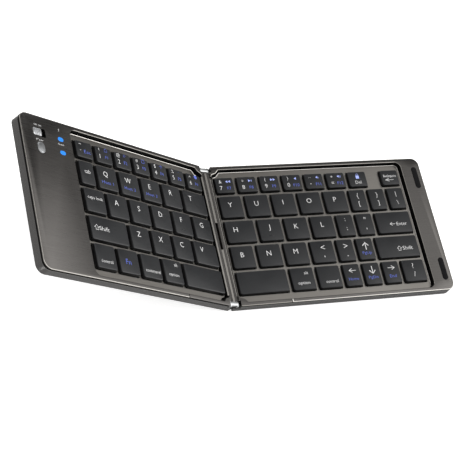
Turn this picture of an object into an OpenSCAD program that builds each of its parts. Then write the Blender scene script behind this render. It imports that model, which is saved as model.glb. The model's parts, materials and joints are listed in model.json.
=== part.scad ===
// Folding keyboard: two slim halves that close face to face on a hinge with two pins a side.
// It stands as it is used half open: the right half lies flat and the left half is raised.
//
// Each half is drawn flat, in its own coordinates: u runs outwards from the plane where the
// opened halves meet, y runs to the back, and z = 0 is the top face of the rim.

/* [Halves] */
// Width of the right half's outer strip, beside its keys
strip_w = 14.16; // [13:0.02:20]
// Width of the rim at the front and back of a half
rim_w = 2.49; // [2.4:0.01:4]
// Radius of the outer corners in plan
corner_r = 5.5; // [4:0.5:7]
// Angle by which the left half is raised from flat
fold = 30; // [10:5:40]

/* [Case] */
// Thickness of the top frame's plate
top_t = 1.6; // [1.4:0.1:1.8]
// Height of the dark seam between top frame and bottom cover
seam = 0.4; // [0.3:0.1:0.6]
// Thickness of the bottom cover's side walls
wall = 1.3; // [1:0.1:1.4]
// Thickness of the bottom cover's floor
floor_t = 1.0; // [0.8:0.1:1.1]
// Height of the rubber feet
foot_h = 0.6; // [0.4:0.1:1.2]
// Clearance between pieces that slide into each other
fit = 0.15; // [0.1:0.05:0.2]

/* [Keys] */
// Pitch of the letter keys on the left half
pitch_left = 18.62; // [18.2:0.02:18.9]
// Pitch of the letter keys on the right half
pitch_right = 18.75; // [18.4:0.05:18.9]
// Pitch of the narrow keys at the right end
pitch_narrow = 14.33; // [14:0.01:14.5]
// Pitch of the rows, front to back
row_pitch = 17.93; // [17.6:0.01:18]
// Depth of the number row
number_row = 13.6; // [13:0.1:13.8]
// Width of the backspace key with its gap
backspace_w = 15.7; // [15:0.1:17]
// Width of the blank stretch of deck beside the backspace key
blank_w = 8.55; // [4:0.05:12]
// Gap between keys, side to side
key_gap = 2; // [1.6:0.1:3]
// Gap between keys, front to back
row_gap = 1.8; // [1.5:0.05:2.8]
// Height of a key above the deck
key_rise = 2.3; // [2:0.1:2.4]
// How far each side of a key slopes in
draft = 0.5; // [0.3:0.05:0.7]
// Radius of the key corners in plan
cap_r = 1.3; // [0.8:0.1:1.6]
// Travel of a key
travel = 1.5; // [1:0.1:1.5]

/* [Deck] */
// Depth of the deck below the rim
deck_drop = 3.0; // [2.8:0.1:3.1]
// Thickness of the deck plate
deck_t = 1.0; // [0.8:0.1:1]
// Clearance of a key in its hole in the deck
key_clear = 0.3; // [0.2:0.05:0.35]
// Gap between deck and rim at the front and back
moat_y = 0.7; // [0.5:0.1:0.9]
// Gap between deck and rim at the outer end
moat_end = 1.2; // [0.8:0.1:1.6]

/* [Hinge] */
// Depth of the hinge pins below the rim
pin_depth = 2.2; // [2.1:0.1:2.4]
// Gap between the two rims when the keyboard is closed
closed_gap = 1.0; // [0.8:0.1:1.4]
// Radius of a hinge pin
pin_r = 0.7; // [0.6:0.05:0.75]
// Radius of the round ends of a hinge link
link_r = 1.3; // [1.2:0.05:1.4]
// Thickness of a hinge link, front to back
link_t = 2.6; // [2:0.1:2.8]
// Width of the lowered bar along the hinge
hinge_strip = 3.85; // [3.6:0.05:4]
// Depth of that bar below the rim
hinge_drop = 1.3; // [1:0.1:1.4]
// Width of the flexible cable between the halves
flex_w = 16; // [10:1:17]

/* [Controls] */
// Length of the slot for the power switch
slot_l = 9.6; // [8.4:0.2:10.4]
// Width of the slot for the power switch
slot_w = 5.6; // [5:0.2:6.2]
// Width of the power switch's knob
knob_w = 6.2; // [5:0.2:7]
// Width of the connect button
button_w = 5.4; // [4.6:0.2:6]
// Length of the connect button
button_l = 7.4; // [6.4:0.2:8.4]
// Travel of the connect button
button_travel = 0.5; // [0.3:0.1:0.5]
// Length of a status light
light_l = 4.2; // [3.4:0.2:4.6]
// Width of a status light
light_w = 2.7; // [2.1:0.1:3]
// Length of a bumper pad
pad_l = 16.2; // [12:0.2:18]
// Width of a bumper pad
pad_w = 3.8; // [3:0.1:4.4]

/* [Hidden] */
$fn = 48;
RIGHT = 0;
LEFT = 1;

// Heights in one half, below the rim: the stack of layers under the keys gives its thickness
key_top = deck_drop - key_rise;
deck_bottom = deck_drop + deck_t;
skirt_below_deck = 0.3;
key_bottom = deck_drop + skirt_below_deck;
cap_wall = 1.0;
flange_t = 0.8;
frame_bottom = deck_bottom + flange_t;
stem_drop = 0.3;
stem_bottom = key_bottom + stem_drop;
stem_r = 2.0;
dome_gap = 0.05;
dome_squashed = 0.35;
dome_r = 2.6;
dome_top_r = 1.7;
membrane_t = 0.4;
membrane_top = stem_bottom + travel + dome_squashed + dome_gap;
plate_t = 0.5;
plate_top = membrane_top + membrane_t;
floor_top = plate_top + plate_t;
thick = floor_top + floor_t;
cover_top = top_t + seam;

// Key field in u and y
edge_gap = 0.1;
field_start = hinge_strip + 0.95;
hinge_trim = 0.85;
field_w = [5 * pitch_right + 3 * pitch_narrow, 6 * pitch_left];
row_start = [field_start - hinge_trim, field_start];
field_end = [for (s = [RIGHT, LEFT]) row_start[s] + field_w[s]];
rows_half = (number_row + 4 * row_pitch) / 2;
deck_margin = 1.15;
deck_margin_y = 3.65;
deck_start = hinge_strip + 1.05;
deck_end = [for (e = field_end) e + deck_margin];
deck_y = rows_half + deck_margin_y;
open_end = [for (e = deck_end) e + moat_end];
open_y = deck_y + moat_y;
open_r = 4.5;
half_w = open_end[RIGHT] + strip_w;
depth = 2 * (open_y + rim_w);
block_y = depth / 2 - wall - fit;
block_wall = 1.2;
seat_clear = 0.4;

// Widths of the keys in each row, from the hinge outwards, back row first
pitch_number = (field_w[RIGHT] - blank_w - backspace_w) / 7;
right_rows = [
    [for (i = [1:7]) pitch_number, blank_w, backspace_w],
    [for (i = [1:8]) i <= 5 ? pitch_right : pitch_narrow],
    [1.25 * pitch_right, pitch_right, pitch_right, pitch_right, pitch_narrow, pitch_narrow,
        0.75 * pitch_right + pitch_narrow],
    [for (i = [1:7]) i <= 4 ? pitch_right : i < 7 ? pitch_narrow : pitch_right + pitch_narrow],
    [2 * pitch_right, pitch_right, pitch_right, pitch_narrow, pitch_narrow, pitch_narrow, pitch_right]
];
left_rows = [
    [for (i = [1:7]) field_w[LEFT] / 7],
    [1.25 * pitch_left, pitch_left, pitch_left, pitch_left, pitch_left, 0.75 * pitch_left],
    [for (i = [1:6]) pitch_left],
    [1.25 * pitch_left, pitch_left, pitch_left, pitch_left, 1.75 * pitch_left],
    [2 * pitch_left, pitch_left, pitch_left, pitch_left, pitch_left]
];
rows = [right_rows, left_rows];
number_gap = 7;

function total(v, n) = n <= 0 ? 0 : v[n - 1] + total(v, n - 1);
function row_back(r) = rows_half - (r == 0 ? 0 : number_row + (r - 1) * row_pitch);
function row_depth(r) = r == 0 ? number_row : row_pitch;
// One key's rectangle at its foot: [u0, u1, y0, y1]
function key_rect(s, r, k) = let (u = row_start[s] + total(rows[s][r], k)) [
    max(u, field_start) + key_gap / 2, u + rows[s][r][k] - key_gap / 2,
    row_back(r) - row_depth(r) + row_gap / 2, row_back(r) - row_gap / 2];
function is_key(s, r, k) = !(s == RIGHT && r == 0 && k == number_gap);
all_keys = [for (s = [RIGHT, LEFT]) [for (r = [0:4]) for (k = [0:len(rows[s][r]) - 1])
    if (is_key(s, r, k)) key_rect(s, r, k)]];

// Hinge, seen from the front
pin_u = pin_depth + closed_gap / 2;
link_inner_y = depth / 2 - 3.5;
link_outer_y = link_inner_y + link_t;
link_clear = 0.4;
bar_y = link_inner_y - link_clear;
bore_clear = 0.05;
cut_u = pin_u + link_r + 2 * link_clear;
cut_bottom = pin_depth + link_r + 0.3;
pin_inner_y = bar_y - 2.4;
pin_head_y = link_outer_y + 0.1;
pin_head_r = 1.1;
pin_head_t = 0.4;
left_pin = [pin_u - 2 * pin_u * cos(fold / 2), -pin_depth + 2 * pin_u * sin(fold / 2)];
// Where a point (u, z) of the left half lies, seen from the front
function left_xz(u, z) = [
    left_pin[0] + (pin_u - u) * cos(fold) + (z + pin_depth) * sin(fold),
    left_pin[1] - (pin_u - u) * sin(fold) + (z + pin_depth) * cos(fold)];
rim_z = foot_h + thick;
centre_x = (half_w + left_xz(half_w, -thick)[0]) / 2;

// Steps of the frame round each end of the hinge bar: [u, distance from the opening's edge]
boss_steps = [for (p = [[0, 5.0], [1.05, 3.3], [3.95, 2.3], [5.95, 0]]) [hinge_strip + p[0], p[1]]];
deck_steps = [for (p = [[0, 5.8], [0.8, 4.4], [3.5, 3.4], [5.7, moat_y]]) [deck_start + p[0], p[1]]];

// Places on the outer strips. In is measured from the outer edge, back from the back edge.
switch_in = 13.4;
switch_back = 11.2;
button_in = 13;
button_back = 21.3;
light_from_keys = 8.63;
light_back = [11.9, 20.8];
pad_in = 5.0;
pad_back = 15.1;
socket_in = 16;
switch_pos = [half_w - switch_in, depth / 2 - switch_back];
button_pos = [half_w - button_in, depth / 2 - button_back];
light_pos = [for (b = light_back) [open_end[LEFT] + light_from_keys, depth / 2 - b]];
pad_pos = [half_w - pad_in, depth / 2 - pad_back];
pad_depth = 0.8;
pad_proud = 0.3;
magnet_w = 2.8;
magnet_inset = 0.6;
magnet_l = pad_l - 2 * magnet_inset;
magnet_t = 1.8;
magnet_end = half_w - wall - fit - block_wall - fit;

// Power switch and connect button
corner_soft = 1;
knob_rest = switch_pos[0] + (slot_l - knob_w) / 2 - fit;
knob_proud = 0.3;
knob_flange_top = top_t + fit;
knob_flange = [knob_w + 5.8, slot_w + 1, 0.5];
flange_shift = 0.4;
knob_stem_r = 1;
knob_stem_bottom = knob_flange_top + 1.4;
groove_pitch = 1.2;
groove_w = 0.5;
groove_depth = 0.25;
button_proud = 0.3;
button_crown = 0.25;
button_flange_top = top_t + fit;
button_flange_t = 0.45;
button_flange_w = 0.6;

// Board, with the parts on it, and the charging socket in a notch of its back edge
board_t = 0.8;
board_post = 0.8;
board_post_r = 1.8;
board_top = floor_top - board_post - board_t;
board_u = [open_end[LEFT] + block_wall + 1.5, half_w - wall - 1.7];
board_y = [-depth / 2 + 9.5, depth / 2 - 5.5];
board_mid = [(board_u[0] + board_u[1]) / 2, (board_y[0] + board_y[1]) / 2];
switch_body = [9, 5, board_top - knob_stem_bottom - fit];
push_body = [4, 4, board_top - button_flange_top - button_flange_t - button_travel - fit];
lamp = [3, 2, 0.6];
radio_chip = [8, 8, 1];
radio_at = board_mid + [-4, 0];
power_chip = [6, 5, 1];
power_at = board_mid + [5, -16];
cable_plug = [9, 5, 2];
plug_at = board_mid + [-4, -28];
socket_w = 8.9;
socket_h = 3.2;
socket_l = 7.3;
socket_shell = 0.3;
socket_tongue = [6.7, 0.7];
socket_inset = 0.2;
socket_clear = 0.2;
socket_pos = [half_w - socket_in, depth / 2 - socket_inset, -board_top + 0.45];

screw_r = 0.8;
screw_boss_r = 1.6;
screw_head_r = 1.4;
screw_head_t = 0.5;
screw_l = 3.4;
screw_clear = 0.05;
screw_back = 3.1;
hinge_screw = [cut_u + 1.8, depth / 2 - screw_back];
strip_screw = [half_w - 7.4, depth / 2 - screw_back];
board_screw = [open_end[LEFT] + 4.2, depth / 2 - screw_back];
foot_l = 12;
foot_w = 6;
foot_u = [foot_l / 2 + 2.2, half_w - 12];
foot_y = depth / 2 - 9.5;
battery_clear = 0.5;
battery_u = [open_end[RIGHT] + block_wall + battery_clear, half_w - wall - fit - block_wall - battery_clear];
battery_l = 2 * (pad_pos[1] - magnet_l / 2 - battery_clear);
battery_t = floor_top - top_t - battery_clear;
flex_t = 0.2;
flex_z = membrane_top - 0.3;
flex_end = 8;
flex_edge = edge_gap + 0.3;
window_u = 1.6;
window_w = flex_w + 3;

// ---- Placing the two halves and the hinge ----

module on_right() translate([-centre_x, 0, rim_z]) children();

module on_left() translate([left_pin[0] - centre_x, 0, rim_z + left_pin[1]])
    rotate([0, fold, 0]) translate([pin_u, 0, pin_depth]) mirror([1, 0, 0]) children();

module on_half(side) {
    if (side == RIGHT) on_right() children();
    if (side == LEFT) on_left() children();
}

module on_link() translate([pin_u - centre_x, 0, rim_z - pin_depth])
    rotate([0, fold / 2, 0]) children();

// ---- Outlines ----

// Rectangle with corner radius ra on its u0 side and rb on its u1 side
module rounded(u0, u1, y0, y1, ra, rb) {
    translate([u0 + ra, y0]) square([u1 - u0 - ra - rb, y1 - y0]);
    translate([u0, y0 + ra]) square([ra + 0.01, y1 - y0 - 2 * ra]);
    translate([u1 - rb - 0.01, y0 + rb]) square([rb + 0.01, y1 - y0 - 2 * rb]);
    for (y = [y0 + ra, y1 - ra]) translate([u0 + ra, y]) circle(ra);
    for (y = [y0 + rb, y1 - rb]) translate([u1 - rb, y]) circle(rb);
}

// Slot with round ends along its first axis, about the origin
module slot_2d(l, w) {
    square([l - w, w], center = true);
    for (x = [-1, 1]) translate([x * (l - w) / 2, 0]) circle(w / 2);
}

module outline(inset) rounded(edge_gap + inset, half_w - inset, -depth / 2 + inset,
    depth / 2 - inset, 0.3, corner_r - inset);

// Corner pieces that follow a list of steps, at the front and at the back
module step_corners(steps) for (side = [-1, 1]) polygon(concat(
    [[-1, side * depth / 2], [-1, side * (open_y - steps[0][1])]],
    [for (p = steps) [p[0], side * (open_y - p[1])]],
    [[steps[3][0], side * depth / 2]]));

module opening_2d(side) difference() {
    rounded(hinge_strip, open_end[side], -open_y, open_y, 0.3, open_r);
    step_corners(boss_steps);
}

module seat_2d(side) rounded(field_start + key_gap / 2 - seat_clear,
    field_end[side] - key_gap / 2 + seat_clear, -rows_half, rows_half, cap_r, cap_r);

module layer(top, bottom) translate([0, 0, -bottom]) linear_extrude(bottom - top) children();

// ---- Cuts that the frame and the cover share ----

module link_cuts() for (side = [-1, 1])
    translate([-1, side > 0 ? bar_y : -depth / 2 - 1, -cut_bottom])
        cube([1 + cut_u, depth / 2 + 1 - bar_y, cut_bottom + 1]);

// Room for the other half to roll past, above the pins
module roll_relief() rotate([90, 0, 0]) linear_extrude(depth + 2, center = true) difference() {
    translate([-1, -pin_depth]) square([1 + pin_u, pin_depth + 1]);
    translate([pin_u, -pin_depth]) circle(pin_u - edge_gap, $fn = 96);
}

// Round bars on the pin axis at the front and at the back
module along_pins(r, inner, outer) for (side = [-1, 1])
    translate([pin_u, side * inner, -pin_depth]) rotate([side * -90, 0, 0])
        cylinder(h = outer - inner, r = r);

function screw_places(side) = concat([hinge_screw, strip_screw], side == LEFT ? [board_screw] : []);

module at_screws(side) for (p = screw_places(side)) for (m = [-1, 1])
    translate([p[0], m * p[1], 0]) children();

// ---- Case ----

module bottom_cover(side) {
    difference() {
        layer(cover_top, thick) outline(0);
        layer(0, floor_top) outline(wall);
        // The wall along the hinge stays below the frame's bar, and dips for the cable
        translate([-1, -block_y - fit, -frame_bottom - seam])
            cube([1 + hinge_strip + fit, 2 * (block_y + fit), thick]);
        translate([-1, -window_w / 2, -flex_z - 0.4]) cube([1 + wall + edge_gap, window_w, thick]);
        link_cuts();
        at_screws(side) translate([0, 0, -thick - 1]) {
            cylinder(h = 1 + floor_t + 1, r = screw_r + screw_clear);
            cylinder(h = 1 + screw_head_t, r = screw_head_r + 2 * screw_clear);
        }
        if (side == LEFT) socket_block(socket_w + 2 * socket_clear, socket_h + 2 * socket_clear, 1, 4);
    }
    if (side == LEFT)
        for (u = [board_u[0] + 3, board_u[1] - 6]) for (y = [board_y[0] + 4, board_y[1] - 16])
            translate([u, y, -floor_top]) cylinder(h = board_post, r = board_post_r);
}

// Block with round ends, from a little ahead of the charging socket's mouth to l behind it
module socket_block(w, h, ahead, l) translate(socket_pos + [0, ahead, 0]) rotate([90, 0, 0])
    linear_extrude(ahead + l) slot_2d(w, h);

module top_frame(side) difference() {
    union() {
        layer(0, top_t) outline(0);
        layer(top_t, frame_bottom) rounded(edge_gap, open_end[side] + block_wall,
            -block_y, block_y, 0.3, open_r + block_wall);
        // Short rib that locates the outer strip inside the cover
        layer(top_t, top_t + 1.6) intersection() {
            difference() {
                outline(wall + fit);
                outline(wall + fit + block_wall);
            }
            translate([open_end[side], -depth / 2]) square([half_w, depth]);
        }
        at_screws(side) translate([0, 0, -floor_top]) cylinder(h = floor_top - top_t, r = screw_boss_r);
    }
    layer(-1, deck_bottom) opening_2d(side);
    layer(0, thick) seat_2d(side);
    // The bar along the hinge lies lower than the rim
    translate([-1, -bar_y - 1, -hinge_drop])
        cube([1 + hinge_strip, 2 * (bar_y + 1), hinge_drop + 1]);
    link_cuts();
    roll_relief();
    along_pins(pin_r, pin_inner_y, depth / 2 + 1);
    at_screws(side) translate([0, 0, -floor_top - 1]) cylinder(h = 1 + screw_l, r = screw_r);
    if (side == RIGHT) {
        // Window over the flexible cable, and recesses for the pads
        translate([-1, -window_w / 2, -thick]) cube([1 + window_u, window_w, thick + 1]);
        at_pads() layer(-1, pad_depth) rotate(90) slot_2d(pad_l, pad_w);
    }
    if (side == LEFT) {
        translate(switch_pos) layer(-1, top_t + 1) soft_box(slot_l, slot_w);
        translate(button_pos) layer(-1, top_t + 1)
            rotate(90) slot_2d(button_l + 2 * fit, button_w + 2 * fit);
        for (p = light_pos) translate(p) layer(-1, top_t + 1) slot_2d(light_l, light_w);
        translate([socket_pos[0] - socket_w / 2 - 1, depth / 2 - socket_l - 1.5, -thick])
            cube([socket_w + 2, socket_l + 2, thick - top_t]);
    }
}

module soft_box(l, w) rounded(-l / 2, l / 2, -w / 2, w / 2, corner_soft, corner_soft);

module at_pads() for (m = [-1, 1]) translate([pad_pos[0], m * pad_pos[1], 0]) children();

module key_deck(side) layer(deck_drop, deck_bottom) difference() {
    rounded(deck_start, deck_end[side], -deck_y, deck_y, 0.3, open_r - moat_end);
    step_corners(deck_steps);
    for (k = all_keys[side]) rounded(k[0] - key_clear, k[1] + key_clear,
        k[2] - key_clear, k[3] + key_clear, cap_r, cap_r);
}

// Outline that the steel plate and the membrane share
module sheet_2d(side) rounded(hinge_strip + 0.9, open_end[side] - 1, -rows_half - 1.2,
    rows_half + 1.2, corner_soft, 3);

module domes(side) for (k = all_keys[side])
    translate([(k[0] + k[1]) / 2, (k[2] + k[3]) / 2, -membrane_top])
        cylinder(h = membrane_top - stem_bottom - dome_gap, r1 = dome_r, r2 = dome_top_r);

module screws(side) at_screws(side) {
    translate([0, 0, -thick]) cylinder(h = screw_head_t, r = screw_head_r);
    translate([0, 0, -thick]) cylinder(h = thick - floor_top + screw_l, r = screw_r);
}

module feet() for (u = foot_u) for (m = [-1, 1]) translate([u, m * foot_y, -thick - foot_h])
    linear_extrude(foot_h) slot_2d(foot_l, foot_w);

module magnets() for (m = [-1, 1])
    translate([magnet_end - magnet_w, m * pad_pos[1] - magnet_l / 2, -top_t - magnet_t])
        cube([magnet_w, magnet_l, magnet_t]);

module hinge_pins() {
    along_pins(pin_r, pin_inner_y, pin_head_y);
    along_pins(pin_head_r, pin_head_y, pin_head_y + pin_head_t);
}

// ---- Keys ----

module keycap(k) {
    w = k[1] - k[0];
    d = k[3] - k[2];
    translate([(k[0] + k[1]) / 2, (k[2] + k[3]) / 2, 0]) {
        difference() {
            intersection() {
                layer(key_top, key_bottom) rounded(-w / 2, w / 2, -d / 2, d / 2, cap_r, cap_r);
                rotate([90, 0, 0]) linear_extrude(d, center = true) sloped_2d(w);
                rotate([90, 0, 90]) linear_extrude(w, center = true) sloped_2d(d);
            }
            translate([-w / 2 + cap_wall, -d / 2 + cap_wall, -key_bottom - 1])
                cube([w - 2 * cap_wall, d - 2 * cap_wall, key_bottom - key_top - cap_wall + 1]);
        }
        translate([0, 0, -stem_bottom]) cylinder(h = stem_bottom - key_top - cap_wall / 2, r = stem_r);
    }
}

module sloped_2d(w) polygon([[-w / 2, -key_bottom], [w / 2, -key_bottom],
    [w / 2 - draft, -key_top], [-w / 2 + draft, -key_top]]);

module keys(side, row, first, last) color([0.18, 0.19, 0.2]) on_half(side)
    for (k = [first:last]) keycap(key_rect(side, row, k));

// ---- Right half ----

module right_bottom_cover() color([0.33, 0.32, 0.31]) on_right() bottom_cover(RIGHT);
module right_top_frame() color([0.36, 0.35, 0.34]) on_right() top_frame(RIGHT);
module right_key_deck() color([0.36, 0.35, 0.32]) on_right() key_deck(RIGHT);
module right_support_plate() color("silver") on_right() layer(plate_top, floor_top) sheet_2d(RIGHT);
module right_membrane() color([0.75, 0.8, 0.8]) on_right()
    layer(membrane_top, plate_top) sheet_2d(RIGHT);
module right_rubber_domes() color([0.9, 0.9, 0.88]) on_right() domes(RIGHT);
module right_feet() color([0.08, 0.08, 0.08]) on_right() feet();
module right_screws() color([0.3, 0.3, 0.3]) on_right() screws(RIGHT);
module right_magnets() color("silver") on_right() magnets();
module right_hinge_pins() color("silver") on_right() hinge_pins();
module right_bumper_pads() color([0.06, 0.06, 0.07]) on_right() at_pads()
    layer(-pad_proud, pad_depth) rotate(90) slot_2d(pad_l, pad_w);
module battery() color([0.7, 0.7, 0.72]) on_right()
    translate([battery_u[0], -battery_l / 2, -floor_top])
        cube([battery_u[1] - battery_u[0], battery_l, battery_t]);

// ---- Left half ----

module left_bottom_cover() color([0.33, 0.32, 0.31]) on_left() bottom_cover(LEFT);
module left_top_frame() color([0.36, 0.35, 0.34]) on_left() top_frame(LEFT);
module left_key_deck() color([0.36, 0.35, 0.32]) on_left() key_deck(LEFT);
module left_support_plate() color("silver") on_left() layer(plate_top, floor_top) sheet_2d(LEFT);
module left_membrane() color([0.75, 0.8, 0.8]) on_left()
    layer(membrane_top, plate_top) sheet_2d(LEFT);
module left_rubber_domes() color([0.9, 0.9, 0.88]) on_left() domes(LEFT);
module left_feet() color([0.08, 0.08, 0.08]) on_left() feet();
module left_screws() color([0.3, 0.3, 0.3]) on_left() screws(LEFT);
module left_magnets() color("silver") on_left() magnets();
module left_hinge_pins() color("silver") on_left() hinge_pins();

module main_board() color([0.1, 0.3, 0.18]) on_left() {
    layer(board_top, board_top + board_t) difference() {
        translate([board_u[0], board_y[0]]) square([board_u[1] - board_u[0], board_y[1] - board_y[0]]);
        translate([socket_pos[0] - socket_w / 2 - fit, socket_pos[1] - socket_l - fit])
            square([socket_w + 2 * fit, socket_l + 1]);
    }
    on_board(switch_pos, switch_body);
    on_board(button_pos, push_body);
    for (p = light_pos) on_board(p, lamp);
    on_board(radio_at, radio_chip);
    on_board(power_at, power_chip);
    on_board(plug_at, cable_plug);
}

module on_board(pos, size) translate([pos[0] - size[0] / 2, pos[1] - size[1] / 2, -board_top])
    cube(size);

module status_lights() color([0.15, 0.6, 1]) on_left() for (p = light_pos)
    translate(p) layer(0, board_top - lamp[2]) slot_2d(light_l, light_w);

module charging_socket() color("silver") on_left() {
    difference() {
        socket_block(socket_w, socket_h, 0, socket_l);
        socket_block(socket_w - 2 * socket_shell, socket_h - 2 * socket_shell, 1, socket_l - 1);
    }
    translate(socket_pos - [socket_tongue[0] / 2, socket_l - 0.5, socket_tongue[1] / 2])
        cube([socket_tongue[0], socket_l - 1.4, socket_tongue[1]]);
}

// Ribbed knob, with a flange under the frame and a pin down to the switch body
module power_switch_knob() color([0.75, 0.75, 0.76]) on_left()
        translate([knob_rest, switch_pos[1], 0]) {
    difference() {
        layer(-knob_proud, knob_flange_top) soft_box(knob_w, slot_w - 0.8);
        for (i = [-1:1]) translate([i * groove_pitch - groove_w / 2, -slot_w / 2, knob_proud - groove_depth])
            cube([groove_w, slot_w, 1]);
    }
    translate([-flange_shift, 0, 0])
        layer(knob_flange_top, knob_flange_top + knob_flange[2]) soft_box(knob_flange[0], knob_flange[1]);
    translate([0, 0, -knob_stem_bottom])
        cylinder(h = knob_stem_bottom - knob_flange_top, r = knob_stem_r);
}

module connect_button() color([0.75, 0.75, 0.76]) on_left() translate(button_pos) {
    layer(-button_proud, button_flange_top) rotate(90) slot_2d(button_l, button_w);
    layer(-button_proud - button_crown, -button_proud) rotate(90) slot_2d(button_l - 1, button_w - 1);
    layer(button_flange_top, button_flange_top + button_flange_t) rotate(90)
        slot_2d(button_l + 2 * button_flange_w, button_w + 2 * button_flange_w);
}

// ---- Hinge ----

module hinge_links() color([0.72, 0.73, 0.73]) on_link() for (side = [-1, 1])
    translate([0, side > 0 ? link_outer_y : -link_inner_y, 0]) rotate([90, 0, 0])
        linear_extrude(link_t) difference() {
            translate([-pin_u, 0]) slot_2d(2 * pin_u + 2 * link_r, 2 * link_r);
            for (x = [0, -2 * pin_u]) translate([x, 0]) circle(pin_r + bore_clear);
        }

// Flat ribbon from one half into the other, below the hinge bars
module flex_cable() color([0.12, 0.08, 0.05]) translate([-centre_x, 0, rim_z]) rotate([90, 0, 0])
    linear_extrude(flex_w, center = true) polygon(concat(
        [for (u = [flex_end, flex_edge]) [u, -flex_z + flex_t]],
        [for (u = [flex_edge, flex_end]) left_xz(u, -flex_z + flex_t)],
        [for (u = [flex_end, flex_edge]) left_xz(u, -flex_z)],
        [for (u = [flex_edge, flex_end]) [u, -flex_z]]));

// ---- Keys of the right half ----

module right_number_keys() keys(RIGHT, 0, 0, 5);
module key_delete() keys(RIGHT, 0, 6, 6);
module key_backspace() keys(RIGHT, 0, 8, 8);
module right_upper_letters() keys(RIGHT, 1, 0, 7);
module right_home_letters() keys(RIGHT, 2, 0, 5);
module key_enter() keys(RIGHT, 2, 6, 6);
module right_lower_letters() keys(RIGHT, 3, 0, 4);
module key_arrow_up() keys(RIGHT, 3, 5, 5);
module key_right_shift() keys(RIGHT, 3, 6, 6);
module key_right_space() keys(RIGHT, 4, 0, 0);
module key_right_alt() keys(RIGHT, 4, 1, 1);
module key_right_ctrl() keys(RIGHT, 4, 2, 2);
module key_arrow_left() keys(RIGHT, 4, 3, 3);
module key_arrow_down() keys(RIGHT, 4, 4, 4);
module key_arrow_right() keys(RIGHT, 4, 5, 5);
module key_slash() keys(RIGHT, 4, 6, 6);

// ---- Keys of the left half ----

module left_number_keys() keys(LEFT, 0, 0, 5);
module key_escape() keys(LEFT, 0, 6, 6);
module left_upper_letters() keys(LEFT, 1, 0, 4);
module key_tab() keys(LEFT, 1, 5, 5);
module left_home_letters() keys(LEFT, 2, 0, 4);
module key_caps_lock() keys(LEFT, 2, 5, 5);
module left_lower_letters() keys(LEFT, 3, 0, 3);
module key_left_shift() keys(LEFT, 3, 4, 4);
module key_left_space() keys(LEFT, 4, 0, 0);
module key_left_alt() keys(LEFT, 4, 1, 1);
module key_menu() keys(LEFT, 4, 2, 2);
module key_fn() keys(LEFT, 4, 3, 3);
module key_left_ctrl() keys(LEFT, 4, 4, 4);

right_bottom_cover();
right_top_frame();
right_key_deck();
right_support_plate();
right_membrane();
right_rubber_domes();
battery();
right_feet();
right_screws();
right_magnets();
right_bumper_pads();
left_bottom_cover();
left_top_frame();
left_key_deck();
left_support_plate();
left_membrane();
left_rubber_domes();
main_board();
left_feet();
left_screws();
left_magnets();
status_lights();
charging_socket();
power_switch_knob();
connect_button();
hinge_links();
right_hinge_pins();
left_hinge_pins();
flex_cable();
right_number_keys();
key_delete();
key_backspace();
right_upper_letters();
right_home_letters();
key_enter();
right_lower_letters();
key_arrow_up();
key_right_shift();
key_right_space();
key_right_alt();
key_right_ctrl();
key_arrow_left();
key_arrow_down();
key_arrow_right();
key_slash();
left_number_keys();
key_escape();
left_upper_letters();
key_tab();
left_home_letters();
key_caps_lock();
left_lower_letters();
key_left_shift();
key_left_space();
key_left_alt();
key_menu();
key_fn();
key_left_ctrl();
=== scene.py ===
"""Folding keyboard, half open: the right half lies flat and the left half is raised."""
import json
import math

import bpy
from mathutils import Matrix, Quaternion, Vector


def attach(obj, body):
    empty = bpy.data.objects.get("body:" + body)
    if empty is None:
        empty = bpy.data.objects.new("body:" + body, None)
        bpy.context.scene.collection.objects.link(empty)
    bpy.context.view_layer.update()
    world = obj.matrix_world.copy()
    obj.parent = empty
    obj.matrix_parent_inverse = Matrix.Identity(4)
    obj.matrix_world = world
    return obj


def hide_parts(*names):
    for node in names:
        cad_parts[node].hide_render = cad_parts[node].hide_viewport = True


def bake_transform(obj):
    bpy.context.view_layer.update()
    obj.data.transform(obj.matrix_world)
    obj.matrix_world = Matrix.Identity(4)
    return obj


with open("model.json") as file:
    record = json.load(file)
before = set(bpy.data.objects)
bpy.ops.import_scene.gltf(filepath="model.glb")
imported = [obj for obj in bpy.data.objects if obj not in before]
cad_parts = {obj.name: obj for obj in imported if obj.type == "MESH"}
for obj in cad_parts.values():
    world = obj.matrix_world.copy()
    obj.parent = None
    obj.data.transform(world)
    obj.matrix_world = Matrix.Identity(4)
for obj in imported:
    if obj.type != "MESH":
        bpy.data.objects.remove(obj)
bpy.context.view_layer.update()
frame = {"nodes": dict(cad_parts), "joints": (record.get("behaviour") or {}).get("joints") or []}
scene = bpy.context.scene
scene.view_settings.view_transform = "Standard"


# ---- Studio ----
# A camera above the front left of the keyboard, held at an angle, as in the photograph.
# A pale floor, a soft white room, two wide lamps, and two small cards that only gloss mirrors.
def linear(colour):
    """The linear colour of an sRGB hex value."""
    parts = [int(colour[i:i + 2], 16) / 255 for i in (0, 2, 4)]
    parts = [c / 12.92 if c <= 0.04045 else ((c + 0.055) / 1.055) ** 2.4 for c in parts]
    return (*parts, 1.0)


def add_node(tree, kind, settings={}, inputs={}):
    """Adds one node. An input is a value, or the socket that it is linked to."""
    made = tree.nodes.new(kind)
    for name, value in settings.items():
        setattr(made, name, value)
    for name, value in inputs.items():
        if isinstance(value, bpy.types.NodeSocket):
            tree.links.new(value, made.inputs[name])
        else:
            made.inputs[name].default_value = value
    return made


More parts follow.
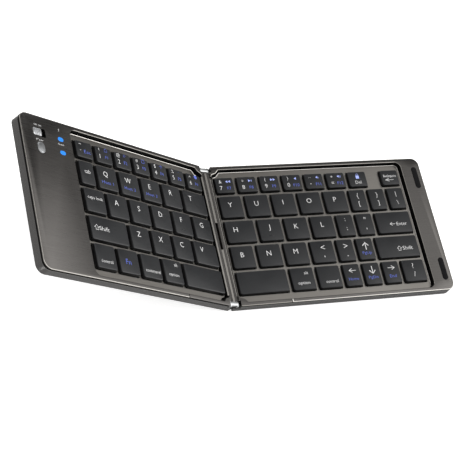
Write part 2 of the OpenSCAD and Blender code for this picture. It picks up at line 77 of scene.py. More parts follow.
camera_data = bpy.data.cameras.new("camera")
camera_data.lens = 108.15
camera_data.sensor_width = 36
camera_data.clip_start = 0.05
camera = bpy.data.objects.new("camera", camera_data)
scene.collection.objects.link(camera)
scene.camera = camera
eye = Vector((-0.31859, -0.34726, 0.75227))
aim = Vector((0.0028, 0.0070, 0.0))
unrolled = (aim - eye).to_track_quat("-Z", "Y")
roll = Quaternion((0, 0, 1), math.radians(33.99))
camera.rotation_mode = "QUATERNION"
camera.rotation_quaternion = unrolled @ roll
camera.location = eye

world = bpy.data.worlds.new("soft_room")
scene.world = world
world.use_nodes = True
room = world.node_tree
room.nodes.clear()
seen = add_node(room, "ShaderNodeLightPath")
direction = add_node(room, "ShaderNodeTexCoord")
toward = add_node(room, "ShaderNodeSeparateXYZ", inputs={0: direction.outputs["Generated"]})


def fade(axis, start, end, at_start, at_end):
    """A level of light that changes along an axis of the direction that is looked in."""
    made = add_node(room, "ShaderNodeMapRange", inputs={"Value": toward.outputs[axis], "From Min": start,
                    "From Max": end, "To Min": at_start, "To Max": at_end})
    return made.outputs[0]


def combine(operation, *values):
    """Two levels of light, added or multiplied."""
    made = add_node(room, "ShaderNodeMath", {"operation": operation}, dict(enumerate(values)))
    return made.outputs[0]


# The room is brightest overhead and to the right. It fades to the back, low down and in front
overhead = combine("MULTIPLY", fade("Y", 0.2, 0.54, 1.9, 0.2), fade("X", 0.33, 0.52, 0.3, 1.5))
low_level = fade("Y", 0.36, 0.48, 0.56, 0.34)
dimmed_low = combine("MULTIPLY", overhead, fade("Z", 0.45, 0.75, low_level, 1.0))
dimmed_front = combine("MULTIPLY", dimmed_low, fade("Y", -0.5, 0.0, 0.25, 1.0))
# A wall in front, one behind and a window on the right add to it, and a glow fills the left side
front = combine("MULTIPLY", fade("Y", -0.7, -0.1, 1.4, 0.0), fade("X", 0.1, 0.3, 0.0, 1.0))
with_front = combine("ADD", dimmed_front, front)
with_back = combine("ADD", with_front, fade("Y", 0.68, 0.9, 0.0, 2.4))
window = combine("MULTIPLY", fade("X", 0.78, 0.92, 0.0, 3.0), fade("Y", -0.15, 0.15, 1.0, 0.0))
with_window = combine("ADD", with_back, window)
level = combine("ADD", with_window, fade("X", 0.02, 0.28, 0.4, 0.0))
room_light = add_node(room, "ShaderNodeBackground", inputs={"Color": linear("fdfcfb"), "Strength": level})
white = add_node(room, "ShaderNodeBackground", inputs={"Color": (1, 1, 1, 1), "Strength": 1.0})
direct = add_node(room, "ShaderNodeMath", {"operation": "MAXIMUM"},
                  {0: seen.outputs["Is Camera Ray"], 1: seen.outputs["Is Transmission Ray"]})
by_sight = add_node(room, "ShaderNodeMixShader",
                    inputs={0: direct.outputs[0], 1: room_light.outputs[0], 2: white.outputs[0]})
add_node(room, "ShaderNodeOutputWorld", inputs={"Surface": by_sight.outputs[0]})


def lamp(name, size, watts, place, target, in_gloss=False):
    """A round lamp. It lights dull surfaces, or with in_gloss it is only mirrored in glossy ones."""
    data = bpy.data.lights.new(name, "AREA")
    data.shape = "DISK"
    data.size = size
    data.energy = watts
    made = bpy.data.objects.new(name, data)
    scene.collection.objects.link(made)
    made.location = place
    made.visible_glossy = in_gloss
    made.visible_diffuse = not in_gloss
    made.visible_camera = False
    made.rotation_euler = (Vector(target) - Vector(place)).to_track_quat("-Z", "Y").to_euler()


lamp("lamp_overhead", 0.55, 3.5, (0.16, 0.16, 0.95), (0.02, 0.0, 0.0))
lamp("lamp_front", 0.7, 1.2, (-0.35, -0.85, 0.75), (0.0, 0.0, 0.0))
lamp("card_behind", 0.09, 0.06, (-0.12, 0.13, 0.002), (-0.12, 0.13, 1.0), in_gloss=True)
lamp("card_left", 0.1, 0.07, (-0.29, -0.20, 0.002), (-0.29, -0.20, 1.0), in_gloss=True)

bpy.ops.object.select_all(action="DESELECT")
bpy.ops.mesh.primitive_grid_add(x_subdivisions=4, y_subdivisions=4, size=6, location=(0, 0, 0))
floor = bpy.context.object
floor.name = "floor"
pale = bpy.data.materials.new("white_paper_floor")
pale.use_nodes = True
pale.node_tree.nodes.clear()
sight = add_node(pale.node_tree, "ShaderNodeLightPath")
paper = add_node(pale.node_tree, "ShaderNodeBsdfDiffuse", inputs={"Color": linear("eeeeee")})
glow = add_node(pale.node_tree, "ShaderNodeEmission", inputs={"Color": (1, 1, 1, 1), "Strength": 0.6})
lit = add_node(pale.node_tree, "ShaderNodeAddShader", inputs={0: paper.outputs[0], 1: glow.outputs[0]})
grey = add_node(pale.node_tree, "ShaderNodeBsdfDiffuse", inputs={"Color": linear("a8a8a8")})
either = add_node(pale.node_tree, "ShaderNodeMixShader",
                  inputs={0: sight.outputs["Is Camera Ray"], 1: grey.outputs[0], 2: lit.outputs[0]})
add_node(pale.node_tree, "ShaderNodeOutputMaterial", inputs={"Surface": either.outputs[0]})
floor.data.materials.append(pale)


# ---- Bottom covers ----
# The lower shell of each half: a moulded tray, painted a satin gunmetal like the frame above it.
# Its lower edge is rounded. The screws in its floor pull it against the top frame.
MM = 0.001
PIN_IN, PIN_DOWN = 2.7 * MM, 2.2 * MM
joints = {j["name"]: j for j in frame["joints"]}
right_pin = Vector(joints["fold_right_pin"]["pos_m"])
left_pin = Vector(joints["fold_left_pin"]["pos_m"])
# From a half's own coordinates to the frame's: x from the hinge, y to the back, z = 0 its rim
RIGHT = Matrix.Translation(right_pin - Vector((PIN_IN, 0, -PIN_DOWN)))
LEFT = (Matrix.Translation(left_pin) @ Matrix.Rotation(math.radians(30), 4, "Y")
        @ Matrix.Translation((PIN_IN, 0, PIN_DOWN)))
LINK = Matrix.Translation(right_pin) @ Matrix.Rotation(math.radians(15), 4, "Y")
HALF = {"right": RIGHT, "left": LEFT}
OUT = {"right": 1, "left": -1}
TURN = {"right": 0.0, "left": -30.0}
# Sizes of a half, and the places of the screws in its floor, in millimetres
WIDE, DEEP, THICK, CORNER = 157.2, 99.0, 7.4, 5.5
PARTING = -2.0
SCREW_X, SCREW_EDGE, SCREW_CLEAR = (6.6, 123.07, 149.8), 3.1, 1.7


def in_mm(co):
    """A point of a mesh in millimetres."""
    return co.x / MM, co.y / MM, co.z / MM


def open_copy(node_name, piece_name, place):
    """A merged copy of a CAD node's mesh, brought into its half's own coordinates."""
    bpy.ops.object.select_all(action="DESELECT")
    made = frame["nodes"][node_name].copy()
    made.data = frame["nodes"][node_name].data.copy()
    made.parent = None
    made.name = piece_name
    for key in list(made.keys()):
        del made[key]
    scene.collection.objects.link(made)
    made.data.materials.clear()
    made.data.transform(place.inverted())
    made.select_set(True)
    bpy.context.view_layer.objects.active = made
    bpy.ops.object.mode_set(mode="EDIT")
    bpy.ops.mesh.select_all(action="SELECT")
    bpy.ops.mesh.remove_doubles(threshold=0.00001)
    bpy.ops.mesh.customdata_custom_splitnormals_clear()
    bpy.ops.mesh.dissolve_limited(angle_limit=math.radians(1.5))
    bpy.ops.object.mode_set(mode="OBJECT")
    return made


def bevel_edges(piece, test, width, segments=1, material=-1):
    """Bevels the edges whose two ends, in millimetres, pass the test."""
    bpy.context.view_layer.objects.active = piece
    bpy.ops.object.mode_set(mode="EDIT")
    bpy.ops.mesh.select_mode(type="EDGE")
    bpy.ops.mesh.select_all(action="DESELECT")
    bpy.ops.object.mode_set(mode="OBJECT")
    verts = piece.data.vertices
    for edge in piece.data.edges:
        edge.select = test(in_mm(verts[edge.vertices[0]].co), in_mm(verts[edge.vertices[1]].co))
    bpy.ops.object.mode_set(mode="EDIT")
    bpy.ops.mesh.bevel(offset=width * MM, segments=segments, material=material,
                       affect="EDGES", clamp_overlap=True, loop_slide=True)
    bpy.ops.object.mode_set(mode="OBJECT")


def paint_faces(piece, slot_index, test):
    """Gives a material slot to the faces whose centre, in millimetres, and normal pass the test."""
    for face in piece.data.polygons:
        if test(in_mm(face.center), face.normal):
            face.material_index = slot_index


def close_piece(piece, place, body, nodes=(), angle=30, bend=None):
    """Smooths a finished piece and puts it in the frame. It rides its body, or with bend it stays loose in
    the frame's coordinates.
    """
    bpy.ops.object.select_all(action="DESELECT")
    piece.select_set(True)
    bpy.context.view_layer.objects.active = piece
    bpy.ops.object.shade_smooth_by_angle(angle=math.radians(angle))
    piece.data.transform(place)
    if bend:
        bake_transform(piece)
    else:
        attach(piece, body)
    if nodes:
        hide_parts(*nodes)


def surface(name, **values):
    """A material with a Principled shader whose constant values stand on its own sockets."""
    made = bpy.data.materials.new(name)
    made.use_nodes = True
    made.node_tree.nodes.clear()
    inputs = {key.replace("_", " "): value for key, value in values.items()}
    shader = add_node(made.node_tree, "ShaderNodeBsdfPrincipled", inputs=inputs)
    add_node(made.node_tree, "ShaderNodeOutputMaterial", inputs={"Surface": shader.outputs[0]})
    return made, made.node_tree, shader


def painted_cover(name):
    """Satin metallic paint on moulded plastic: a fine fleck in its gloss, and no grain."""
    made, tree, shader = surface(name, Metallic=0.75)
    where = add_node(tree, "ShaderNodeTexCoord")
    # Paint fleck of 0.25 mm
    fleck = add_node(tree, "ShaderNodeTexNoise", {"noise_dimensions": "3D"},
                     {"Vector": where.outputs["Object"], "Scale": 4000.0, "Detail": 2.0})
    tone = add_node(tree, "ShaderNodeMapRange",
                    inputs={"Value": fleck.outputs[0], "From Min": 0.3, "From Max": 0.7,
                            "To Min": 0.2, "To Max": 0.28})
    tree.links.new(tone.outputs[0], shader.inputs["Roughness"])
    shade = add_node(tree, "ShaderNodeMix", {"data_type": "RGBA"},
                     {"Factor": fleck.outputs[0], "A": linear("646362"), "B": linear("6f6e6d")})
    tree.links.new(shade.outputs["Result"], shader.inputs["Base Color"])
    return made


def near(value, target, slack=0.02):
    return abs(value - target) < slack


def from_corner(p):
    """How far a point is from the axis of the half's rounded corner."""
    return math.hypot(abs(p[0]) - WIDE + CORNER, abs(p[1]) - DEEP / 2 + CORNER)


def both_within(a, b, margin):
    """Whether both ends of an edge lie that near the half's long edges, or that near its outer end."""
    return min(abs(a[1]), abs(b[1])) > DEEP / 2 - margin or min(abs(a[0]), abs(b[0])) > WIDE - margin


def at_screw(p):
    return any(math.hypot(abs(p[0]) - x, abs(p[1]) - DEEP / 2 + SCREW_EDGE) < SCREW_CLEAR for x in SCREW_X)


for side in ("right", "left"):
    cover = open_copy(f"{side}_bottom_cover", f"{side}_cover", HALF[side])
    cover.data.materials.append(painted_cover(f"painted_gunmetal_{side}"))
    # The rounded lower edge, and a fine chamfer where the cover meets the frame
    bevel_edges(cover, lambda a, b: near(a[2], -THICK, 0.05) and near(b[2], -THICK, 0.05)
                and both_within(a, b, CORNER + 0.1) and not at_screw(a) and not at_screw(b), 0.8, 4)
    bevel_edges(cover, lambda a, b: near(a[2], PARTING) and near(b[2], PARTING)
                and (both_within(a, b, 0.2) or min(from_corner(a), from_corner(b)) > CORNER - 0.1), 0.15, 1)
    close_piece(cover, HALF[side], f"{side}_half", [f"{side}_bottom_cover"])


# ---- Feet ----
# Four rubber pads with round ends under each half, glued to the cover's floor.
def moulded_rubber(name, colour):
    """Moulded rubber: matt, with a soft mottle where it has picked up dust."""
    made, tree, shader = surface(name, Specular_IOR_Level=0.15, Base_Color=linear(colour))
    where = add_node(tree, "ShaderNodeTexCoord")
    # Dust patches of about 3 mm
    dust = add_node(tree, "ShaderNodeTexNoise", inputs={"Vector": where.outputs["Object"], "Scale": 330.0})
    matt = add_node(tree, "ShaderNodeMapRange",
                    inputs={"Value": dust.outputs[0], "To Min": 0.65, "To Max": 0.95})
    tree.links.new(matt.outputs[0], shader.inputs["Roughness"])
    return made


black_rubber = moulded_rubber("moulded_black_rubber", "0b0b0c")
for side in ("right", "left"):
    pads = open_copy(f"{side}_feet", f"{side}_rubber_feet", HALF[side])
    pads.data.materials.append(black_rubber)
    bevel_edges(pads, lambda a, b: max(a[2], b[2]) < -THICK - 0.5, 0.25, 2)
    close_piece(pads, HALF[side], f"{side}_half", [f"{side}_feet"])


# ---- Inside the halves ----
# A steel plate carries a printed switch film with a rubber dome for each key. The right strip
# holds a foil battery and the left one the board, and both have magnets that hold them shut.
def rolled_steel(name, colour, rough):
    """Rolled steel sheet: bright, with faint streaks along the sheet."""
    made, tree, shader = surface(name, Metallic=1.0, Base_Color=linear(colour))
    where = add_node(tree, "ShaderNodeTexCoord")
    # Streaks 0.4 mm wide and 20 mm long
    along = add_node(tree, "ShaderNodeMapping",
                     inputs={"Vector": where.outputs["Object"], "Scale": (50, 2500, 2500)})
    streak = add_node(tree, "ShaderNodeTexNoise", inputs={"Vector": along.outputs[0], "Scale": 1.0})
    worn = add_node(tree, "ShaderNodeMapRange",
                    inputs={"Value": streak.outputs[0], "To Min": rough - 0.08, "To Max": rough + 0.1})
    tree.links.new(worn.outputs[0], shader.inputs["Roughness"])
    return made


def tinted(name, low, high, scale, rough, metal=0.0, gloss=0.5):
    """A plain material whose colour wanders between two close tones."""
    made, tree, shader = surface(name, Metallic=metal, Roughness=rough, Specular_IOR_Level=gloss)
    where = add_node(tree, "ShaderNodeTexCoord")
    blotch = add_node(tree, "ShaderNodeTexNoise", inputs={"Vector": where.outputs["Object"], "Scale": scale})
    shade = add_node(tree, "ShaderNodeMix", {"data_type": "RGBA"},
                     {"Factor": blotch.outputs[0], "A": linear(low), "B": linear(high)})
    tree.links.new(shade.outputs["Result"], shader.inputs["Base Color"])
    return made


plain_steel = rolled_steel("rolled_steel_sheet", "b9bbbd", 0.35)
printed_film = tinted("printed_polyester_film", "b4c0c0", "c3cccb", 300.0, 0.35)
silicone = tinted("milky_silicone_dome", "dcdcd4", "e8e8e2", 500.0, 0.5)
foil = tinted("aluminium_pouch_foil", "b4b4b9", "c6c6ca", 250.0, 0.3, 0.9)
board_green = tinted("solder_mask_green", "14401f", "1d5230", 700.0, 0.35)
flex_brown = tinted("polyimide_flex_film", "1b1410", "241b15", 400.0, 0.35)


def dress(material, *nodes):
    """Gives CAD nodes that keep their own mesh their material."""
    for name in nodes:
        node = frame["nodes"][name]
        node.data.materials.clear()
        node.data.materials.append(material)


dress(plain_steel, "right_support_plate", "left_support_plate", "right_magnets", "left_magnets")
dress(printed_film, "right_membrane", "left_membrane")
dress(foil, "battery")
dress(board_green, "main_board")


# ---- Top frames ----
# The visible rim: aluminium plate, finely brushed and anodised gunmetal, with the wide strip
# outside the keys. Its edges are cut with a diamond tool, which leaves bright narrow chamfers.
OPEN_END = {"right": 143.04, "left": 118.87}
OPEN_Y, OPEN_START = 47.01, 3.8
BAR_TOP, BAR_SIDE, BAR_END = -1.3, 3.85, 46
BRUSHED, BRIGHT, PAINTED_SHADE_SLOT, WHITE = 0, 1, 2, 3


def brushed_anodised(name, dark, light, turn, rough):
    """Brushed and anodised aluminium: fine lines along the keyboard, and a soft colour drift."""
    made, tree, shader = surface(name, Metallic=1.0)
    where = add_node(tree, "ShaderNodeTexCoord")
    # Brush lines 0.35 mm apart, drawn coarser than the real 0.1 mm so that they show, 12 mm long
    flat = add_node(tree, "ShaderNodeMapping",
                    inputs={"Vector": where.outputs["Object"], "Rotation": (0, math.radians(turn), 0)})
    lines = add_node(tree, "ShaderNodeMapping", inputs={"Vector": flat.outputs[0], "Scale": (80, 2800, 200)})
    brush = add_node(tree, "ShaderNodeTexNoise",
                     inputs={"Vector": lines.outputs[0], "Scale": 1.0, "Detail": 3.0})
    cloud = add_node(tree, "ShaderNodeTexNoise", inputs={"Vector": where.outputs["Object"], "Scale": 14.0})
    both = add_node(tree, "ShaderNodeMath", {"operation": "MULTIPLY_ADD"},
                    {0: brush.outputs[0], 1: 0.55, 2: cloud.outputs[0]})
    tone = add_node(tree, "ShaderNodeMapRange",
                    inputs={"Value": both.outputs[0], "From Min": 0.5, "From Max": 1.05})
    shade = add_node(tree, "ShaderNodeMix", {"data_type": "RGBA"},
                     {"Factor": tone.outputs[0], "A": linear(dark), "B": linear(light)})
    tree.links.new(shade.outputs["Result"], shader.inputs["Base Color"])
    gloss_range = add_node(tree, "ShaderNodeMapRange",
                           inputs={"Value": brush.outputs[0], "To Min": rough - 0.05, "To Max": rough + 0.07})
    tree.links.new(gloss_range.outputs[0], shader.inputs["Roughness"])
    bump = add_node(tree, "ShaderNodeBump",
                    inputs={"Height": brush.outputs[0], "Strength": 0.25, "Distance": 0.00003})
    tree.links.new(bump.outputs[0], shader.inputs["Normal"])
    return made


def cut_bright(name, colour):
    """Diamond-cut aluminium: bright, with fine tool marks across it."""
    made, tree, shader = surface(name, Metallic=1.0, Base_Color=linear(colour))
    where = add_node(tree, "ShaderNodeTexCoord")
    # Tool marks of 0.3 mm
    marks = add_node(tree, "ShaderNodeTexNoise", inputs={"Vector": where.outputs["Object"], "Scale": 3300.0})
    worn = add_node(tree, "ShaderNodeMapRange",
                    inputs={"Value": marks.outputs[0], "To Min": 0.22, "To Max": 0.38})
    tree.links.new(worn.outputs[0], shader.inputs["Roughness"])
    return made


bright_cut = cut_bright("diamond_cut_aluminium", "a3a09b")
white_cut = cut_bright("polished_cut_aluminium", "dedbd6")
# Near black paint for shade: the walls of the opening, the deck's sides, the seams, the joint and the switch
# and button slots
shade_paint_black = tinted("black_recess_painted_shade", "070707", "0c0c0c", 600.0, 0.6, gloss=0.1)


def is_outer(p):
    """Whether a point lies on the outline of a half."""
    if abs(p[0]) > WIDE - CORNER and abs(p[1]) > DEEP / 2 - CORNER:
        return from_corner(p) > CORNER - 0.1
    return abs(p[1]) > DEEP / 2 - 0.05 or abs(p[0]) > WIDE - 0.05


def pick_faces(piece, test):
    """Leaves the piece in edit mode with the faces selected that pass the test."""
    bpy.context.view_layer.objects.active = piece
    bpy.ops.object.mode_set(mode="EDIT")
    bpy.ops.mesh.select_mode(type="FACE")
    bpy.ops.mesh.select_all(action="DESELECT")
    bpy.ops.object.mode_set(mode="OBJECT")
    for face in piece.data.polygons:
        face.select = test(in_mm(face.center), face.normal)
    bpy.ops.object.mode_set(mode="EDIT")


def split_faces(piece, x, test):
    """Cuts the faces that pass the test along a plane across x, in millimetres."""
    pick_faces(piece, test)
    bpy.ops.mesh.bisect(plane_co=(x * MM, 0, 0), plane_no=(1, 0, 0))
    bpy.ops.object.mode_set(mode="OBJECT")


def groove(piece, x0, x1, y0, y1, z0, z1, material):
    """Cuts a box out of a piece. Its sides, in millimetres, are given in the half's coordinates."""
    bpy.ops.object.select_all(action="DESELECT")
    middle = ((x0 + x1) / 2 * MM, (y0 + y1) / 2 * MM, (z0 + z1) / 2 * MM)
    bpy.ops.mesh.primitive_cube_add(size=1, location=middle)
    cutter = bpy.context.object
    cutter.scale = ((x1 - x0) * MM, (y1 - y0) * MM, (z1 - z0) * MM)
    bpy.ops.object.transform_apply(location=True, rotation=True, scale=True)
    cutter.data.materials.append(material)
    cut = piece.modifiers.new("groove", "BOOLEAN")
    cut.operation = "DIFFERENCE"
    cut.solver = "EXACT"
    cut.material_mode = "TRANSFER"
    cut.object = cutter
    bpy.context.view_layer.objects.active = piece
    bpy.ops.object.modifier_apply(modifier=cut.name)
    bpy.data.objects.remove(cutter)


# Each hinge bar has a bright strip, a painted highlight, and a brushed one, and the front edge is jointed
# near the hinge
BAR_SPLIT = {"right": 1.6, "left": 2.6}
BAR_PAINTED_HIGHLIGHT = {"right": (0.0, 1.6), "left": (2.6, 3.9)}
JOINT_AT, JOINT_HALF, JOINT_LINE = {"right": 39.4, "left": 42.2}, 0.25, 0.6
for side in ("right", "left"):
    end = OPEN_END[side]
    rim = open_copy(f"{side}_top_frame", f"{side}_frame", HALF[side])
    brushed = brushed_anodised(f"brushed_gunmetal_{side}", "545250", "62605e", TURN[side], 0.28)
    for material in (brushed, bright_cut, shade_paint_black, white_cut):
        rim.data.materials.append(material)

    def in_opening(p):
        return abs(p[1]) < OPEN_Y + 0.03 and OPEN_START < abs(p[0]) < end + 0.03

    def on_bar(c):
        return near(c[2], BAR_TOP) and abs(c[0]) < BAR_SIDE + 0.05

    def at_rim(a, b):
        return near(a[2], 0) and near(b[2], 0)

    def on_front_chamfer(c, n):
        return n.y < -0.2 and 0.2 < n.z < 0.98 and c[1] < 0.6 - DEEP / 2

    # The bars' bright strips, painted highlights, and their sides; the walls of the opening and of the
    # outline painted black, as painted shade
    split_faces(rim, BAR_SPLIT[side] * OUT[side], lambda c, n: on_bar(c))
    # The bright strip on each bar's top is a painted highlight
    paint_faces(rim, BRIGHT, lambda c, n: near(c[2], BAR_TOP) and abs(c[1]) < BAR_END
                and BAR_PAINTED_HIGHLIGHT[side][0] < abs(c[0]) < BAR_PAINTED_HIGHLIGHT[side][1])
    paint_faces(rim, PAINTED_SHADE_SLOT, lambda c, n: -4.9 < c[2] < -0.35 and in_opening(c))
    paint_faces(rim, PAINTED_SHADE_SLOT, lambda c, n: abs(n.z) < 0.2 and is_outer(c) and c[2] > PARTING - 0.05)
    paint_faces(rim, BRIGHT, lambda c, n: -2.25 < c[2] < BAR_TOP - 0.01 and abs(c[0]) < 2.2
                and abs(c[1]) < BAR_END - 0.1)

    # The cut chamfers of the opening, of the outline and of the bar
    bevel_edges(rim, lambda a, b: at_rim(a, b) and in_opening(a) and in_opening(b), 0.25, 1, BRIGHT)
    bevel_edges(rim, lambda a, b: at_rim(a, b) and is_outer(a) and is_outer(b), 0.4, 2, BRIGHT)
    bevel_edges(rim, lambda a, b: near(a[2], BAR_TOP) and near(b[2], BAR_TOP) and near(abs(a[0]), BAR_SIDE)
                and near(abs(b[0]), BAR_SIDE) and abs(a[1]) < BAR_END, 0.35, 2, BRIGHT)

    # The joint in the front edge: a fine gap whose walls are painted black as painted shade, with a bright
    # line beside it on the right half
    joint = JOINT_AT[side] * OUT[side]
    gap = (joint - JOINT_HALF, joint + JOINT_HALF)
    groove(rim, *gap, -DEEP / 2 - 1, -OPEN_Y - 0.35, -0.4, 1, shade_paint_black)
    groove(rim, *gap, -DEEP / 2 - 1, -DEEP / 2 + 0.25, -1.9, 1, shade_paint_black)
    if side == "right":
        groove(rim, gap[1], gap[1] + JOINT_LINE, -DEEP / 2 + 0.3, -OPEN_Y - 0.35, -0.04, 1, white_cut)

    # The front's inner edge is painted black as painted shade, a dark line. Its outer one is duller between
    # the hinge and the joint
    paint_faces(rim, PAINTED_SHADE_SLOT, lambda c, n: n.y > 0.3 and 0.3 < n.z < 0.95 and c[1] < -30 and -0.35 < c[2] < 0)
    if side == "right":
        paint_faces(rim, WHITE, lambda c, n: on_front_chamfer(c, n) and c[0] > JOINT_AT[side])
    else:
        paint_faces(rim, BRUSHED, lambda c, n: on_front_chamfer(c, n) and abs(c[0]) < JOINT_AT[side])
    close_piece(rim, HALF[side], f"{side}_half", [f"{side}_top_frame"])


# ---- Key decks ----
# The plate around the keys, sunk below the rim: aluminium, brushed and anodised a warmer grey,
# with a bright cut edge. It rests on the frame's flange.
DECK_END = {"right": 141.84, "left": 117.67}
DECK_HALF, DECK_ROUND, DECK_TOP, BEAD = 46.31, 3.3, -3.04, 0.24
for side in ("right", "left"):
    end = DECK_END[side]
    deck = open_copy(f"{side}_key_deck", f"{side}_deck", HALF[side])
    brushed = brushed_anodised(f"brushed_warm_grey_{side}", "777470", "8a8782", TURN[side], 0.3)
    for material in (brushed, white_cut, shade_paint_black):
        deck.data.materials.append(material)
    # The deck's sides are painted black, as painted shade in the gap round it
    paint_faces(deck, PAINTED_SHADE_SLOT, lambda c, n: abs(n.z) < 0.5)

    # The cut edge: a fine polished bead round the notch at the hinge, along the back and the outer end
    inner = DECK_ROUND - BEAD
    notch = [(5.7 + BEAD, 42.6 - BEAD), (8.4, 43.6 - BEAD), (10.6 + BEAD, DECK_HALF - BEAD)]
    arc = [(end - DECK_ROUND + inner * math.sin(a), DECK_HALF - DECK_ROUND + inner * math.cos(a))
           for a in (math.radians(d) for d in range(0, 91, 10))]
    route = [*notch, *arc, (end - BEAD, -43.0)]
    line = bpy.data.curves.new("deck_bead", "CURVE")
    line.dimensions = "3D"
    line.bevel_depth = BEAD * MM
    line.bevel_resolution = 2
    line.use_fill_caps = True
    spline = line.splines.new("POLY")
    spline.points.add(len(route) - 1)
    for point, (x, y) in zip(spline.points, route):
        point.co = (OUT[side] * x * MM, y * MM, DECK_TOP * MM, 1)
    bead = bpy.data.objects.new("deck_bead", line)
    scene.collection.objects.link(bead)
    line.materials.append(white_cut)
    bpy.ops.object.select_all(action="DESELECT")
    bead.select_set(True)
    bpy.context.view_layer.objects.active = bead
    bpy.ops.object.convert(target="MESH")
    deck.select_set(True)
    bpy.context.view_layer.objects.active = deck
    bpy.ops.object.join()
    close_piece(deck, HALF[side], f"{side}_half", [f"{side}_key_deck"])


# ---- Keycaps ----
# Low ABS caps with sloping sides and a stem that presses a rubber dome. They are moulded with a
# fine spark-eroded grain, and their white and blue legends are printed on.
CAP_TOP, CEILING, CAP_FOOT, STEM_FOOT = -0.7, -1.7, -3.3, -3.6
CAP_CORNER, CAP_WALL, CAP_HOLLOW, STEM_WIDE = 1.3, 1.0, 1.6, 4
DOME_FOOT, DOME_TOP = -5.5 * MM, -3.65 * MM
# The height of Blender's capitals at size 1, and how much their strokes are thinned
FONT_CAPITAL, FONT_THIN = 0.682, -0.008


def moulded_abs(name, top, side_tone, rough):
    """Grained ABS: a dull sheen broken by grain of about 0.25 mm, worn smoother in patches."""
    made, tree, shader = surface(name, IOR=1.5)
    where = add_node(tree, "ShaderNodeTexCoord")
    grain = add_node(tree, "ShaderNodeTexNoise",
                     inputs={"Vector": where.outputs["Object"], "Scale": 4000.0, "Detail": 1.0})
    wear = add_node(tree, "ShaderNodeTexNoise", inputs={"Vector": where.outputs["Object"], "Scale": 90.0})
    shade = add_node(tree, "ShaderNodeMix", {"data_type": "RGBA"},
                     {"Factor": wear.outputs[0], "A": linear(top), "B": linear(side_tone)})
    tree.links.new(shade.outputs["Result"], shader.inputs["Base Color"])
    dull = add_node(tree, "ShaderNodeMapRange",
                    inputs={"Value": wear.outputs[0], "From Min": 0.3, "From Max": 0.7,
                            "To Min": rough - 0.04, "To Max": rough + 0.06})
    tree.links.new(dull.outputs[0], shader.inputs["Roughness"])
    bump = add_node(tree, "ShaderNodeBump",
                    inputs={"Height": grain.outputs[0], "Strength": 0.35, "Distance": 0.00003})
    tree.links.new(bump.outputs[0], shader.inputs["Normal"])
    return made


key_abs = moulded_abs("grained_black_abs", "0b0d10", "0d0f12", 0.36)
# A darker copy of the cap plastic for the sides: painted shade
shaded_cap_side = moulded_abs("grained_black_abs_painted_shade_side", "040405", "060607", 0.4)
white_ink = tinted("white_pad_print", "c6c6c6", "d2d2d2", 800.0, 0.5)
blue_ink = tinted("blue_pad_print", "4a5ab0", "5464ba", 800.0, 0.5)
pale_blue_ink = tinted("pale_blue_pad_print", "96a4e6", "a2b0f0", 800.0, 0.5)


def key_boxes(node_name, place):
    """The box of each key of a CAD node, in its half's own coordinates, from left to right."""
    open_copy(node_name, "joined_keys", place)
    bpy.ops.object.mode_set(mode="EDIT")
    bpy.ops.mesh.separate(type="LOOSE")
    bpy.ops.object.mode_set(mode="OBJECT")
    boxes = []
    for part in list(bpy.context.selected_objects):
        xs = [v.co.x for v in part.data.vertices]
        ys = [v.co.y for v in part.data.vertices]
        boxes.append((min(xs), max(xs), min(ys), max(ys)))
        bpy.data.objects.remove(part)
    return sorted(boxes)


cap_meshes = {}


def keycap(width, depth):
    """The mesh of one cap about x = 0, y = 0, made once for each size."""
    size = (round(width / MM, 1), round(depth / MM, 1))
    if size in cap_meshes:
        return cap_meshes[size].copy()
    w, d = width / MM, depth / MM
    bpy.ops.object.select_all(action="DESELECT")
    bpy.ops.mesh.primitive_cube_add(size=1, location=(0, 0, (CAP_TOP + CAP_FOOT) / 2 * MM))
    cap = bpy.context.object
    cap.scale = (width, depth, (CAP_TOP - CAP_FOOT) * MM)
    bpy.ops.object.transform_apply(location=True, rotation=True, scale=True)
    bevel_edges(cap, lambda a, b: abs(a[2] - b[2]) > 2, CAP_CORNER, 5)
    # Hollow below
    pick_faces(cap, lambda c, n: n.z < -0.9)
    bpy.ops.mesh.inset(thickness=CAP_WALL * MM)
    bpy.ops.mesh.extrude_region_move(TRANSFORM_OT_translate={"value": (0, 0, CAP_HOLLOW * MM)})
    # Stem, from the middle of the ceiling
    bpy.ops.mesh.inset(thickness=CAP_WALL * MM)
    narrow = (STEM_WIDE / (w - 4 * CAP_WALL), STEM_WIDE / (d - 4 * CAP_WALL), 1)
    bpy.ops.transform.resize(value=narrow, center_override=(0, 0, 0))
    bpy.ops.mesh.extrude_region_move(TRANSFORM_OT_translate={"value": (0, 0, (STEM_FOOT - CEILING) * MM)})
    bpy.ops.object.mode_set(mode="OBJECT")
    # Sloping sides and a softened top edge
    pick_faces(cap, lambda c, n: n.z > 0.9 and near(c[2], CAP_TOP))
    bpy.ops.transform.resize(value=(1 - 1 / w, 1 - 1 / d, 1), center_override=(0, 0, 0))
    bpy.ops.object.mode_set(mode="OBJECT")
    bevel_edges(cap, lambda a, b: near(a[2], CAP_TOP) and near(b[2], CAP_TOP), 0.42, 3)
    cap.data.materials.append(key_abs)
    cap.data.materials.append(shaded_cap_side)
    # The sides get the darker copy, as painted shade
    paint_faces(cap, 1, lambda c, n: abs(n.z) < 0.35)
    cap_meshes[size] = cap.data.copy()
    bpy.data.objects.remove(cap)
    return cap_meshes[size].copy()


